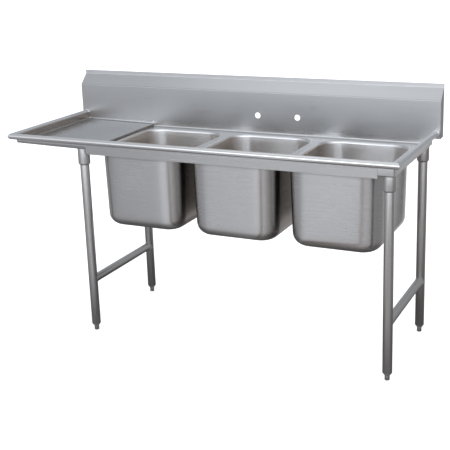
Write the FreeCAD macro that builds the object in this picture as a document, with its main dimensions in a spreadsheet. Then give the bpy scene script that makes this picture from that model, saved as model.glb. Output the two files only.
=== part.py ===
import FreeCAD, Part
import math
import os
from types import SimpleNamespace

import Sketcher
from FreeCAD import Placement, Rotation, Vector

# Three compartment sink: a welded stainless steel sink with one drainboard on the left.
# X runs along its length, +Y goes to the wall and +Z is up. The origin is on the floor, in
# the middle of the overall length and depth. Millimetres and degrees.

doc = FreeCAD.newDocument("three_compartment_sink")
sheet = doc.addObject("Spreadsheet::Sheet", "Dimensions")

DRIVING = {
    # overall
    "overall_length": 1880,
    "overall_depth": 686,
    "overall_height": 1152,
    "gauge": 1.5,
    # deck and drainboard
    "deck_level": 886,
    "drain_level": 898.5,
    "drain_rise": 7,
    "step_x": -520,
    "cove_radius": 7,
    "seam_level": 913.5,
    # rolled rims
    "roll_radius": 14,
    "roll_level": 937,
    "rim_inset": 8,
    # backsplash
    "splash_return": 50,
    "tile_edge": 18.5,
    "bend_radius": 3,
    "faucet_spacing": 203.2,
    "faucet_hole_radius": 14.3,
    "faucet_level": 972.5,
    # bowls
    "bowl_length": 406.4,
    "bowl_width": 508,
    "bowl_depth": 360,
    "bowl_pitch": 460,
    "bowl_mid_x": 161,
    "bowl_mid_y": -4,
    "bowl_corner": 92,
    "bowl_floor_radius": 54,
    "bowl_draft": 1.2,
    "lip_radius": 12,
    "lip_reach": 14,
    # apron below the front rim
    "apron_left": -520,
    "apron_right": 837,
    "apron_low": 877,
    "apron_high": 930,
    "apron_chamfer": 9,
    # legs, their sockets and channels
    "leg_left_x": -565,
    "leg_right_x": 872,
    "leg_front_y": -268,
    "leg_rear_y": 260,
    "leg_radius": 20.65,
    "leg_low": 33.4,
    "channel_width": 46,
    "channel_depth": 6,
    "gusset_radius": 27,
    "gusset_low": 816,
    "gusset_chamfer": 5,
    "gusset_lip": 1.4,
    "gusset_cap": 4,
    "screw_radius": 4,
    "screw_recess": 0.6,
    "screw_key": 4,
    "screw_level": 846,
    "rail_radius": 19,
    "rail_level": 254,
    # adjustable feet
    "foot_radius": 10.75,
    "foot_height": 22,
    "foot_edge": 2,
    "stem_radius": 6.35,
    "stem_height": 44,
    "running_fit": 0.05,
    "foot_gap": 0.4,
    "plug_height": 30,
    "cone_radius": 12.5,
    # stiffener below the drainboard
    "stiffener_x": -735,
    "stiffener_width": 70,
    "stiffener_height": 16,
    "stiffener_reach": 240,
    # basket drains
    "drain_hole_radius": 44.5,
    "flange_radius": 57,
    "flange_height": 2,
    "cup_radius": 43.5,
    "cup_depth": 46,
    "outlet_radius": 24.15,
    "outlet_bore": 20.4,
    "outlet_length": 22,
    "gasket_radius": 56,
    "gasket_height": 3,
    "washer_radius": 55,
    "washer_height": 1.5,
    "nut_radius": 54,
    "nut_height": 11,
    "notch_radius": 4,
    # lift-out strainer baskets
    "basket_radius": 40.5,
    "basket_floor_radius": 31,
    "basket_depth": 36,
    "basket_wall": 1,
    "basket_hole_radius": 2.5,
    "hole_row_low": -26,
    "hole_row_high": -16,
    "hole_ring_inner": 12,
    "hole_ring_outer": 21,
    "post_radius": 3,
    "knob_radius": 8,
    "knob_low": -12,
    "knob_high": -4,
}

for row, (alias, number) in enumerate(DRIVING.items(), 1):
    sheet.set(f"A{row}", alias)
    sheet.set(f"B{row}", str(number))
    sheet.setAlias(f"B{row}", alias)
doc.recompute()


class Size:
    """A number together with its formula on the sheet, so that both can be worked out at once."""

    def __init__(self, text, value):
        self.text = text
        self.value = value

    def __add__(self, other):
        other = size(other)
        return Size(f"({self.text} + {other.text})", self.value + other.value)

    def __sub__(self, other):
        other = size(other)
        return Size(f"({self.text} - {other.text})", self.value - other.value)

    def __mul__(self, other):
        other = size(other)
        return Size(f"({self.text} * {other.text})", self.value * other.value)

    def __truediv__(self, other):
        other = size(other)
        return Size(f"({self.text} / {other.text})", self.value / other.value)

    def __neg__(self):
        return size(0) - self

    def __radd__(self, other):
        return size(other) + self

    def __rsub__(self, other):
        return size(other) - self

    def __rmul__(self, other):
        return size(other) * self


def size(thing):
    """Turn a plain number into a Size, and leave a Size as it is."""
    if isinstance(thing, Size):
        return thing
    return Size(f"({thing})", thing)


dim = SimpleNamespace(**{alias: Size(f"Dimensions.{alias}", number) for alias, number in DRIVING.items()})

# Planes that several sub-parts share
end_x = dim.overall_length / 2
rim_x = end_x - dim.rim_inset
face_x = rim_x - 2 * dim.roll_radius
front_y = -dim.overall_depth / 2
face_y = front_y + 2 * dim.roll_radius
splash_y = dim.overall_depth / 2 - dim.gauge - dim.splash_return
knee_level = dim.overall_height - dim.tile_edge - dim.splash_return
bowl_floor = dim.deck_level - dim.bowl_depth

# The pieces that are written out, in order
parts = []


# ------------------------------------------------------------------ binding


def bind(thing, **sizes):
    """Bind properties of an object to sizes; a double underscore stands for a dot."""
    for name, amount in sizes.items():
        thing.setExpression(name.replace("__", "."), size(amount).text)


def place(thing, across=0, back=0, up=0, turn=None):
    """Bind the place of a sub-part or a primitive, after an optional turn."""
    if turn:
        thing.Placement = Placement(Vector(0, 0, 0), turn)
    bind(thing, Placement__Base__x=across, Placement__Base__y=back, Placement__Base__z=up)


def keep(thing, label):
    """Name a finished sub-part and put it on the list of pieces."""
    thing.Label = label
    parts.append(thing)
    return thing


# ------------------------------------------------------------------ sketches


def origin_feature(body, role):
    return [item for item in body.Origin.OriginFeatures if item.Role == role][0]


def new_sketch(body, plane, offset):
    """Empty sketch on an origin plane of its own body, moved along that plane's axis."""
    sketch = body.newObject("Sketcher::SketchObject", body.Name + "_sketch")
    sketch.AttachmentSupport = (origin_feature(body, plane + "_Plane"), [""])
    sketch.MapMode = "FlatFace"
    # The normal of the XZ plane points to -Y.
    bind(sketch, AttachmentOffset__Base__z=-size(offset) if plane == "XZ" else offset)
    return sketch


def pin(sketch, geometry, point, across, up):
    """Pin a point of a sketch to two sizes, measured from the sketch's origin."""
    for kind, amount in (("DistanceX", across), ("DistanceY", up)):
        fixed = Sketcher.Constraint(kind, -1, 1, geometry, point, size(amount).value)
        index = sketch.addConstraint(fixed)
        sketch.setExpression(f"Constraints[{index}]", size(amount).text)


def radius_of(sketch, geometry, amount):
    index = sketch.addConstraint(Sketcher.Constraint("Radius", geometry, size(amount).value))
    sketch.setExpression(f"Constraints[{index}]", size(amount).text)


def vector(across, up):
    return Vector(size(across).value, size(up).value, 0)


def polygon(sketch, corners):
    """Closed outline through corners given as pairs of sizes."""
    count = len(corners)
    for index in range(count):
        start = vector(*corners[index])
        end = vector(*corners[(index + 1) % count])
        sketch.addGeometry(Part.LineSegment(start, end), False)
    for index in range(count):
        joint = Sketcher.Constraint("Coincident", index, 2, (index + 1) % count, 1)
        sketch.addConstraint(joint)
        pin(sketch, index, 1, *corners[index])


def rectangle(left, low, right, high):
    """Drawing function for a rectangle between four sizes."""
    return lambda sketch: polygon(sketch, [(left, low), (right, low), (right, high), (left, high)])


def outline(*corners):
    """Drawing function for a polygon."""
    return lambda sketch: polygon(sketch, corners)


def circles(centres, radius):
    """Drawing function for equal circles."""

    def draw(sketch):
        for across, up in centres:
            ring = Part.Circle(vector(across, up), Vector(0, 0, 1), size(radius).value)
            index = sketch.addGeometry(ring, False)
            radius_of(sketch, index, radius)
            pin(sketch, index, 3, across, up)

    return draw


def rounded_rectangle(length, width, corner, across=0, back=0):
    """Drawing function for a rectangle with rounded corners about a middle point."""

    def draw(sketch):
        quarter = math.pi / 2
        signs = [(1, 1), (-1, 1), (-1, -1), (1, -1)]
        centres = [(across + sign_x * (length / 2 - corner), back + sign_y * (width / 2 - corner))
                   for sign_x, sign_y in signs]
        for index, centre in enumerate(centres):
            ring = Part.Circle(vector(*centre), Vector(0, 0, 1), size(corner).value)
            sketch.addGeometry(Part.ArcOfCircle(ring, index * quarter, (index + 1) * quarter), False)
        for index in range(4):
            start = sketch.getPoint(index, 2)
            end = sketch.getPoint((index + 1) % 4, 1)
            sketch.addGeometry(Part.LineSegment(start, end), False)
        for index, centre in enumerate(centres):
            pin(sketch, index, 3, *centre)
            radius_of(sketch, index, corner)
            first, second = ("Horizontal", "Vertical") if index % 2 == 0 else ("Vertical", "Horizontal")
            sketch.addConstraint(Sketcher.Constraint(first, index, 3, index, 1))
            sketch.addConstraint(Sketcher.Constraint(second, index, 3, index, 2))
        for index in range(4):
            line = index + 4
            sketch.addConstraint(Sketcher.Constraint("Coincident", index, 2, line, 1))
            sketch.addConstraint(Sketcher.Constraint("Coincident", line, 2, (index + 1) % 4, 1))

    return draw


def rolled_edge(face, outward):
    """Drawing function for a riser with three quarters of a tube on top.

    The face is the riser's inner side, and outward, -1 or 1, is the way that the roll leans.
    """

    def draw(sketch):
        begin, finish = (0, 1.5 * math.pi) if outward < 0 else (-math.pi / 2, math.pi)
        riser_end, curl_end = (1, 2) if outward < 0 else (2, 1)
        centre = (face + outward * dim.roll_radius, dim.roll_level)
        for index, radius in enumerate((dim.roll_radius, dim.roll_radius - dim.gauge)):
            ring = Part.Circle(vector(*centre), Vector(0, 0, 1), radius.value)
            sketch.addGeometry(Part.ArcOfCircle(ring, begin, finish), False)
            pin(sketch, index, 3, *centre)
            radius_of(sketch, index, radius)
            sketch.addConstraint(Sketcher.Constraint("Horizontal", index, 3, index, riser_end))
            sketch.addConstraint(Sketcher.Constraint("Vertical", index, 3, index, curl_end))
        back = face + outward * dim.gauge
        sides = ((face, 0), (back, 1))
        for foot, arc in sides:
            start = vector(foot, dim.seam_level)
            sketch.addGeometry(Part.LineSegment(start, sketch.getPoint(arc, riser_end)), False)
        foot_line = Part.LineSegment(vector(face, dim.seam_level), vector(back, dim.seam_level))
        sketch.addGeometry(foot_line, False)
        curl_line = Part.LineSegment(sketch.getPoint(0, curl_end), sketch.getPoint(1, curl_end))
        sketch.addGeometry(curl_line, False)
        for index, (foot, arc) in enumerate(sides):
            pin(sketch, 2 + index, 1, foot, dim.seam_level)
            sketch.addConstraint(Sketcher.Constraint("Coincident", 2 + index, 2, arc, riser_end))
            sketch.addConstraint(Sketcher.Constraint("Coincident", 4, 1 + index, 2 + index, 1))
            sketch.addConstraint(Sketcher.Constraint("Coincident", 5, 1 + index, arc, curl_end))

    return draw


# ------------------------------------------------------------------ features


def helper_body(name):
    """Body that only serves a boolean of another sub-part."""
    return doc.addObject("PartDesign::Body", name)


def new_body(label):
    return keep(helper_body(label), label)


def add_feature(body, kind, sketch, low, high, draft):
    feature = body.newObject(f"PartDesign::{kind}", f"{body.Name}_{kind.lower()}")
    feature.Profile = sketch
    bind(feature, Length=size(high) - low)
    if draft:
        bind(feature, TaperAngle=draft)
    body.Tip = feature
    doc.recompute()
    return feature


def pad(body, plane, low, high, draw, draft=None):
    """Add material from low to high along the plane's axis; a draft narrows it upwards."""
    sketch = new_sketch(body, plane, high if plane == "XZ" else low)
    draw(sketch)
    return add_feature(body, "Pad", sketch, low, high, draft)


def pocket(body, plane, low, high, draw, draft=None):
    """Cut material away from high down to low along the plane's axis."""
    sketch = new_sketch(body, plane, low if plane == "XZ" else high)
    draw(sketch)
    before = body.Shape.Volume
    feature = add_feature(body, "Pocket", sketch, low, high, draft)
    if body.Shape.Volume >= before:
        raise RuntimeError(f"{body.Label}: a pocket cut nothing")
    return feature


def revolve(body, *corners):
    """Full turn, about the body's own Z axis, of an outline given as radius and level."""
    sketch = new_sketch(body, "XZ", 0)
    polygon(sketch, corners)
    feature = body.newObject("PartDesign::Revolution", body.Name + "_turn")
    feature.Profile = sketch
    feature.ReferenceAxis = (origin_feature(body, "Z_Axis"), [""])
    feature.Angle = 360
    body.Tip = feature
    doc.recompute()
    return feature


def soften(body, kind, amount, wanted):
    """Fillet or chamfer those edges of the body's last feature that a test picks."""
    base = body.Tip
    names = [f"Edge{index}" for index, edge in enumerate(base.Shape.Edges, 1) if wanted(edge)]
    if not names:
        raise RuntimeError(f"{body.Label}: no edge passes the test")
    feature = body.newObject(f"PartDesign::{kind}", f"{body.Name}_{kind.lower()}")
    feature.Base = (base, names)
    bind(feature, **{"Radius" if kind == "Fillet" else "Size": amount})
    body.Tip = feature
    doc.recompute()
    return feature


def lies_at(edge, axis, level, slack=0.02):
    """True for an edge that keeps one level along an axis."""
    low = getattr(edge.BoundBox, axis + "Min")
    high = getattr(edge.BoundBox, axis + "Max")
    return abs(low - size(level).value) < slack and abs(high - size(level).value) < slack


# ------------------------------------------------------------------ primitives


def cylinder(name, radius, height, up=0):
    piece = doc.addObject("Part::Cylinder", name)
    bind(piece, Radius=radius, Height=height)
    place(piece, up=up)
    return piece


def cut(name, base, tool):
    result = doc.addObject("Part::Cut", name)
    result.Base = base
    result.Tool = tool
    return result


def fuse(name, pieces):
    result = doc.addObject("Part::MultiFuse", name)
    result.Shapes = pieces
    return result


def around(radius, count):
    """Angle in degrees and the two coordinates of equally spaced places on a circle."""
    for index in range(count):
        angle = 360 * index / count
        yield angle, radius * math.cos(math.radians(angle)), radius * math.sin(math.radians(angle))


# ------------------------------------------------------------------ deck and drainboard


def bowl_places():
    """Side and middle of each bowl along X."""
    for index, side in enumerate(("left", "centre", "right"), -1):
        yield side, dim.bowl_mid_x + index * dim.bowl_pitch


def make_bowl_deck():
    """Tray with coved front, rear and right edges and an opening for each bowl."""
    body = new_body("bowl_deck")
    floor = dim.deck_level - dim.gauge
    pad(body, "XY", floor, dim.seam_level, rectangle(
        dim.step_x, face_y - dim.gauge, face_x + dim.gauge, splash_y + dim.gauge))
    pocket(body, "XY", dim.deck_level, dim.seam_level, rectangle(
        dim.step_x - 1, face_y, face_x, splash_y))
    soften(body, "Fillet", dim.cove_radius, lambda edge: (
        lies_at(edge, "Z", dim.deck_level) and not lies_at(edge, "X", dim.step_x)))
    soften(body, "Fillet", dim.cove_radius + dim.gauge, lambda edge: (
        lies_at(edge, "Z", floor) and not lies_at(edge, "X", dim.step_x)))
    for _, middle in bowl_places():
        pocket(body, "XY", floor - 1, dim.deck_level + 1, rounded_rectangle(
            dim.bowl_length + 2 * dim.lip_reach, dim.bowl_width + 2 * dim.lip_reach,
            dim.bowl_corner + dim.lip_reach, middle, dim.bowl_mid_y))


def make_drainboard():
    """Tray pitched towards the bowls, with its right edge turned down to the bowl deck."""
    high_end = dim.drain_level + dim.drain_rise
    thick = dim.gauge
    plate_low = dim.deck_level - thick

    blank = helper_body("drainboard_blank")
    pad(blank, "XZ", face_y - thick, splash_y + thick, outline(
        (-face_x - thick, high_end - thick),
        (dim.step_x, dim.drain_level - thick),
        (dim.step_x, dim.seam_level),
        (-face_x - thick, dim.seam_level)))
    soften(blank, "Fillet", dim.cove_radius + thick, lambda edge: (
        edge.BoundBox.ZMax < high_end.value and not lies_at(edge, "X", dim.step_x)))
    pad(blank, "YZ", dim.step_x - thick, dim.step_x, rectangle(
        face_y - thick, plate_low, splash_y + thick, dim.seam_level))
    soften(blank, "Fillet", dim.cove_radius + thick, lambda edge: (
        lies_at(edge, "Z", plate_low) and edge.Length < 2 * thick.value))

    hollow = helper_body("drainboard_hollow")
    slope = dim.drain_rise / (face_x + dim.step_x)
    pad(hollow, "XZ", face_y, splash_y, outline(
        (-face_x, high_end),
        (dim.step_x + 1, dim.drain_level - slope),
        (dim.step_x + 1, dim.seam_level + 1),
        (-face_x, dim.seam_level + 1)))
    soften(hollow, "Fillet", dim.cove_radius, lambda edge: (
        edge.BoundBox.ZMax < high_end.value + 0.1 and not lies_at(edge, "X", dim.step_x + 1)))
    keep(cut("drainboard", blank, hollow), "drainboard")


def drain_underside(across):
    """Level of the pitched underside of the drainboard at a place along X."""
    slope = dim.drain_rise / (face_x + dim.gauge + dim.step_x)
    return dim.drain_level - dim.gauge + (dim.step_x - across) * slope


def make_stiffener():
    """Hat channel below the drainboard, from front to rear."""
    body = new_body("drainboard_stiffener")
    left = dim.stiffener_x - dim.stiffener_width / 2
    right = dim.stiffener_x + dim.stiffener_width / 2
    floor = dim.drain_level - dim.gauge - dim.stiffener_height
    pad(body, "XZ", -dim.stiffener_reach, dim.stiffener_reach, outline(
        (left, drain_underside(left)),
        (left, floor),
        (right, floor),
        (right, drain_underside(right)),
        (right - dim.gauge, drain_underside(right - dim.gauge)),
        (right - dim.gauge, floor + dim.gauge),
        (left + dim.gauge, floor + dim.gauge),
        (left + dim.gauge, drain_underside(left + dim.gauge))))


# ------------------------------------------------------------------ rims, apron and splash


def make_rims():
    """Rolled rims on the front and both ends, mitred where they meet."""
    reach = 2 * dim.roll_radius + 2
    low = dim.seam_level - 10
    high = dim.overall_height

    front = new_body("front_rim")
    pad(front, "YZ", -rim_x, rim_x, rolled_edge(face_y, -1))
    for end in (-1, 1):
        pocket(front, "XY", low, high, outline(
            (end * rim_x, front_y),
            (end * rim_x, front_y + reach),
            (end * (rim_x - reach), front_y + reach)))

    for side, end in (("left", -1), ("right", 1)):
        rim = new_body(f"{side}_rim")
        pad(rim, "XZ", front_y, splash_y, rolled_edge(end * face_x, end))
        pocket(rim, "XY", low, high, outline(
            (end * rim_x, front_y),
            (end * (rim_x - reach), front_y),
            (end * (rim_x - reach), front_y + reach)))


def make_apron():
    """Strip on the outer face of the front riser, along the bowls."""
    body = new_body("front_apron")
    pad(body, "XZ", face_y - 2 * dim.gauge, face_y - dim.gauge, outline(
        (dim.apron_left + dim.apron_chamfer, dim.apron_low),
        (dim.apron_right, dim.apron_low),
        (dim.apron_right, dim.apron_high),
        (dim.apron_left, dim.apron_high),
        (dim.apron_left, dim.apron_low + dim.apron_chamfer)))


def make_backsplash():
    """Bent sheet: an upright face, a 45 degree return and an upright tile edge."""
    body = new_body("backsplash")
    thick = dim.gauge
    back_drop = dim.gauge * (math.sqrt(2) - 1)
    bend_y = splash_y + dim.splash_return
    bend_level = knee_level + dim.splash_return
    pad(body, "YZ", thick - end_x, end_x - thick, outline(
        (splash_y, dim.seam_level),
        (splash_y, knee_level),
        (bend_y, bend_level),
        (bend_y, dim.overall_height),
        (bend_y + thick, dim.overall_height),
        (bend_y + thick, bend_level - back_drop),
        (splash_y + thick, knee_level - back_drop),
        (splash_y + thick, dim.seam_level)))
    soften(body, "Fillet", dim.bend_radius + thick, lambda edge: (
        (lies_at(edge, "Z", knee_level) or lies_at(edge, "Z", bend_level - back_drop))
        and edge.Length > dim.overall_length.value / 2))
    soften(body, "Fillet", dim.bend_radius, lambda edge: (
        (lies_at(edge, "Z", knee_level - back_drop) or lies_at(edge, "Z", bend_level))
        and edge.Length > dim.overall_length.value / 2))
    holes = [(dim.bowl_mid_x + side * dim.faucet_spacing / 2, dim.faucet_level) for side in (-1, 1)]
    pocket(body, "XZ", splash_y - 1, splash_y + 2 * thick, circles(holes, dim.faucet_hole_radius))


def make_splash_end_caps():
    """Plates that close the ends of the splash back to the wall."""
    for side, end in (("left", -1), ("right", 1)):
        body = new_body(f"splash_end_cap_{side}")
        low = end_x - dim.gauge if end > 0 else -end_x
        bend_y = splash_y + dim.splash_return
        pad(body, "YZ", low, low + dim.gauge, outline(
            (splash_y, dim.seam_level),
            (splash_y, knee_level),
            (bend_y, knee_level + dim.splash_return),
            (bend_y, dim.overall_height),
            (bend_y + dim.gauge, dim.overall_height),
            (bend_y + dim.gauge, dim.seam_level)))


# ------------------------------------------------------------------ bowls


def make_bowl(side, middle):
    """Deep-drawn bowl with drafted walls, rounded corners and a lip welded into the deck."""
    body = new_body(f"bowl_{side}")
    place(body, middle, dim.bowl_mid_y, dim.deck_level)
    thick = dim.gauge
    depth = dim.bowl_depth

    def within(edge, level, length, width):
        """True for an edge at one level that lies inside a rectangle about the middle."""
        box = edge.BoundBox
        return (lies_at(edge, "Z", level)
                and max(box.XMax, -box.XMin) < length.value / 2 + 0.1
                and max(box.YMax, -box.YMin) < width.value / 2 + 0.1)

    outer_length = dim.bowl_length + 2 * thick
    outer_width = dim.bowl_width + 2 * thick
    shell = new_sketch(body, "XY", 0)
    rounded_rectangle(outer_length, outer_width, dim.bowl_corner + thick)(shell)
    drawn = add_feature(body, "Pad", shell, 0, depth + thick, -dim.bowl_draft)
    drawn.Reversed = True
    doc.recompute()
    pad(body, "XY", -thick, 0, rounded_rectangle(
        dim.bowl_length + 2 * dim.lip_reach, dim.bowl_width + 2 * dim.lip_reach,
        dim.bowl_corner + dim.lip_reach))
    pocket(body, "XY", -depth, 0, rounded_rectangle(
        dim.bowl_length, dim.bowl_width, dim.bowl_corner), -dim.bowl_draft)
    soften(body, "Fillet", dim.bowl_floor_radius, lambda edge: lies_at(edge, "Z", -depth))
    soften(body, "Fillet", dim.bowl_floor_radius + thick, lambda edge: lies_at(edge, "Z", -depth - thick))
    soften(body, "Fillet", dim.lip_radius - thick, lambda edge: (
        within(edge, -thick, outer_length, outer_width)))
    soften(body, "Fillet", dim.lip_radius, lambda edge: (
        within(edge, 0, dim.bowl_length, dim.bowl_width)))
    pocket(body, "XY", -depth - 2 * thick, 1 - depth, circles([(0, 0)], dim.drain_hole_radius))


# ------------------------------------------------------------------ basket drains


def make_drain(side, middle):
    """Flanged drain cup through the bowl's floor, with its gasket, washer and ring nut."""
    under = -dim.gauge
    gasket_low = under - dim.gasket_height
    washer_low = gasket_low - dim.washer_height
    nut_low = washer_low - dim.nut_height

    cup = new_body(f"drain_body_{side}")
    revolve(cup,
            (dim.outlet_bore, -dim.cup_depth - dim.outlet_length),
            (dim.outlet_radius, -dim.cup_depth - dim.outlet_length),
            (dim.outlet_radius, -dim.cup_depth),
            (dim.cup_radius, -dim.cup_depth),
            (dim.cup_radius, 0),
            (dim.flange_radius, 0),
            (dim.flange_radius - dim.flange_height, dim.flange_height),
            (dim.cup_radius - dim.gauge, dim.flange_height),
            (dim.cup_radius - dim.gauge, dim.gauge - dim.cup_depth),
            (dim.outlet_bore, dim.gauge - dim.cup_depth))
    place(cup, middle, dim.bowl_mid_y, bowl_floor)

    for label, radius, low, high in (("gasket", dim.gasket_radius, gasket_low, under),
                                     ("washer", dim.washer_radius, washer_low, gasket_low)):
        ring = new_body(f"drain_{label}_{side}")
        revolve(ring, (dim.cup_radius, low), (radius, low), (radius, high), (dim.cup_radius, high))
        place(ring, middle, dim.bowl_mid_y, bowl_floor)

    name = f"drain_locknut_{side}"
    disc = cylinder(f"{name}_disc", dim.nut_radius, dim.nut_height, nut_low)
    hole = cylinder(f"{name}_hole", dim.cup_radius, dim.nut_height, nut_low)
    tools = [hole]
    for index, (_, across, back) in enumerate(around(dim.nut_radius, 8)):
        notch = cylinder(f"{name}_notch_{index}", dim.notch_radius, dim.nut_height)
        place(notch, across, back, nut_low)
        tools.append(notch)
    nut = cut(name, disc, fuse(f"{name}_tools", tools))
    place(nut, middle, dim.bowl_mid_y, bowl_floor)
    keep(nut, name)


def make_basket(side, middle):
    """Perforated lift-out cup with a post and knob in its middle."""
    name = f"strainer_basket_{side}"
    wall = dim.basket_wall
    floor = -dim.basket_depth
    cup = doc.addObject("PartDesign::Body", f"{name}_cup")
    revolve(cup,
            (0, floor),
            (dim.basket_floor_radius, floor),
            (dim.basket_radius, -wall),
            (dim.basket_radius + wall, -wall),
            (dim.basket_radius + wall, 0),
            (dim.basket_radius - wall, 0),
            (dim.basket_floor_radius - wall, floor + wall),
            (dim.post_radius, floor + wall),
            (dim.post_radius, dim.knob_low),
            (dim.knob_radius, dim.knob_low),
            (dim.knob_radius, dim.knob_high - wall),
            (dim.knob_radius - wall, dim.knob_high),
            (0, dim.knob_high))
    drills = []
    for level, count in ((dim.hole_row_low, 14), (dim.hole_row_high, 14)):
        for angle, across, back in around(dim.basket_floor_radius / 2, count):
            drill = cylinder(f"{name}_wall_drill_{len(drills)}", dim.basket_hole_radius, dim.basket_radius)
            turn = Rotation(Vector(0, 0, 1), angle).multiply(Rotation(Vector(0, 1, 0), 90))
            place(drill, across, back, level, turn)
            drills.append(drill)
    for circle_radius, count in ((dim.hole_ring_inner, 6), (dim.hole_ring_outer, 12)):
        for _, across, back in around(circle_radius, count):
            drill = cylinder(f"{name}_floor_drill_{len(drills)}", dim.basket_hole_radius, 4 * wall)
            place(drill, across, back, floor - wall)
            drills.append(drill)
    basket = cut(name, cup, fuse(f"{name}_drills", drills))
    place(basket, middle, dim.bowl_mid_y, bowl_floor)
    keep(basket, name)


# ------------------------------------------------------------------ legs


def leg_places():
    """Name, place and outward side of each leg."""
    for row, back in (("front", dim.leg_front_y), ("rear", dim.leg_rear_y)):
        for side, across, outward in (("left", dim.leg_left_x, -1), ("right", dim.leg_right_x, 1)):
            yield f"{row}_{side}", across, back, outward


def support_level(across, outward):
    """Level of what rests on a leg: the bowl deck on the right, the pitched drainboard on the left."""
    if outward > 0:
        return dim.deck_level - dim.gauge
    return drain_underside(across + dim.gusset_radius)


def make_channels():
    """Channels below the deck that tie the front and rear leg sockets."""
    thick = dim.gauge
    floor = dim.deck_level - thick - dim.channel_depth
    tops = {"left": drain_underside, "right": lambda across: dim.deck_level - thick}
    for side, middle in (("left", dim.leg_left_x), ("right", dim.leg_right_x)):
        body = new_body(f"leg_channel_{side}")
        left = middle - dim.channel_width / 2
        right = middle + dim.channel_width / 2
        top = tops[side]
        pad(body, "XZ", dim.leg_front_y, dim.leg_rear_y, outline(
            (left, floor),
            (right, floor),
            (right, top(right)),
            (right - thick, top(right - thick)),
            (right - thick, floor + thick),
            (left + thick, floor + thick),
            (left + thick, top(left + thick)),
            (left, top(left))))
        sockets = [(middle, dim.leg_front_y), (middle, dim.leg_rear_y)]
        pocket(body, "XY", floor - 1, dim.seam_level, circles(sockets, dim.gusset_radius))


def make_gusset(name, across, back, outward):
    """Socket with a tapered lower lip and a threaded hole for its set screw."""
    body = new_body(f"gusset_{name}")
    top = support_level(across, outward)
    revolve(body,
            (dim.leg_radius, dim.gusset_low),
            (dim.leg_radius + dim.gusset_lip, dim.gusset_low),
            (dim.gusset_radius, dim.gusset_low + dim.gusset_chamfer),
            (dim.gusset_radius, top),
            (0, top),
            (0, top - dim.gusset_cap),
            (dim.leg_radius, top - dim.gusset_cap))
    pocket(body, "YZ", dim.leg_radius - 2, dim.gusset_radius + 1,
           circles([(0, dim.screw_level)], dim.screw_radius))
    place(body, across, back, turn=Rotation(Vector(0, 0, 1), 0 if outward > 0 else 180))


def make_set_screws():
    """Four equal set screws with a hexagon socket, one in each gusset."""
    screws = []
    for name, across, back, outward in leg_places():
        turn = Rotation(Vector(0, 1, 0), 90 * outward)
        length = dim.gusset_radius - dim.leg_radius - dim.screw_recess
        shank = cylinder(f"set_screw_{name}_shank", dim.screw_radius, length)
        key = doc.addObject("Part::Prism", f"set_screw_{name}_key")
        key.Polygon = 6
        bind(key, Circumradius=dim.screw_key / math.sqrt(3), Height=length)
        place(key, up=length / 2)
        screw = cut(f"set_screw_{name}", shank, key)
        place(screw, across + outward * dim.leg_radius, back, dim.screw_level, turn)
        screws.append(screw)
    group = doc.addObject("Part::Compound", "gusset_set_screws")
    group.Links = screws
    keep(group, "gusset_set_screws")


def make_leg(name, across, back, outward):
    """Tube from the socket down to the foot insert."""
    height = support_level(across, outward) - dim.gusset_cap - dim.leg_low
    tube = cylinder(f"leg_{name}_tube", dim.leg_radius, height, dim.leg_low)
    bore = cylinder(f"leg_{name}_bore", dim.leg_radius - dim.gauge, height, dim.leg_low)
    leg = cut(f"leg_{name}", tube, bore)
    place(leg, across, back)
    keep(leg, f"leg_{name}")


def make_crossrail(side, across):
    """Tube between the front and rear leg of one end, coped to both."""
    name = f"crossrail_{side}"
    length = dim.leg_rear_y - dim.leg_front_y
    lay_down = Rotation(Vector(1, 0, 0), -90)
    tube = cylinder(f"{name}_tube", dim.rail_radius, length)
    bore = cylinder(f"{name}_bore", dim.rail_radius - dim.gauge, length)
    copes = []
    for row, back in (("front", dim.leg_front_y), ("rear", dim.leg_rear_y)):
        cope = cylinder(f"{name}_cope_{row}", dim.leg_radius, 4 * dim.rail_radius)
        place(cope, across, back, dim.rail_level - 2 * dim.rail_radius)
        copes.append(cope)
    pipe = cut(f"{name}_pipe", tube, bore)
    place(pipe, across, dim.leg_front_y, dim.rail_level, lay_down)
    rail = cut(name, pipe, fuse(f"{name}_copes", copes))
    keep(rail, name)


def make_foot(name, across, back):
    """Tapered insert in the end of the leg, and the foot that screws into it."""
    insert = new_body(f"foot_insert_{name}")
    bore = dim.stem_radius + dim.running_fit
    cone_low = dim.foot_height + dim.foot_gap
    plug = dim.leg_radius - dim.gauge
    revolve(insert,
            (bore, cone_low),
            (dim.cone_radius, cone_low),
            (dim.leg_radius, dim.leg_low),
            (plug, dim.leg_low),
            (plug, dim.leg_low + dim.plug_height),
            (bore, dim.leg_low + dim.plug_height))
    place(insert, across, back)

    foot = new_body(f"foot_{name}")
    revolve(foot,
            (0, 0),
            (dim.foot_radius - dim.foot_edge, 0),
            (dim.foot_radius, dim.foot_edge),
            (dim.foot_radius, dim.foot_height),
            (dim.stem_radius, dim.foot_height),
            (dim.stem_radius, dim.foot_height + dim.stem_height),
            (0, dim.foot_height + dim.stem_height))
    place(foot, across, back)


# ------------------------------------------------------------------ build and write


make_bowl_deck()
make_drainboard()
make_stiffener()
make_rims()
make_apron()
make_backsplash()
make_splash_end_caps()
for side, middle in bowl_places():
    make_bowl(side, middle)
    make_drain(side, middle)
    make_basket(side, middle)
make_channels()
make_set_screws()
for name, across, back, outward in leg_places():
    make_gusset(name, across, back, outward)
    make_leg(name, across, back, outward)
    make_foot(name, across, back)
for side, across in (("left", dim.leg_left_x), ("right", dim.leg_right_x)):
    make_crossrail(side, across)

doc.recompute()

for thing in doc.Objects:
    if "Invalid" in thing.State or "Error" in thing.State:
        raise RuntimeError(f"{thing.Label} failed: {thing.State}")

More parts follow.
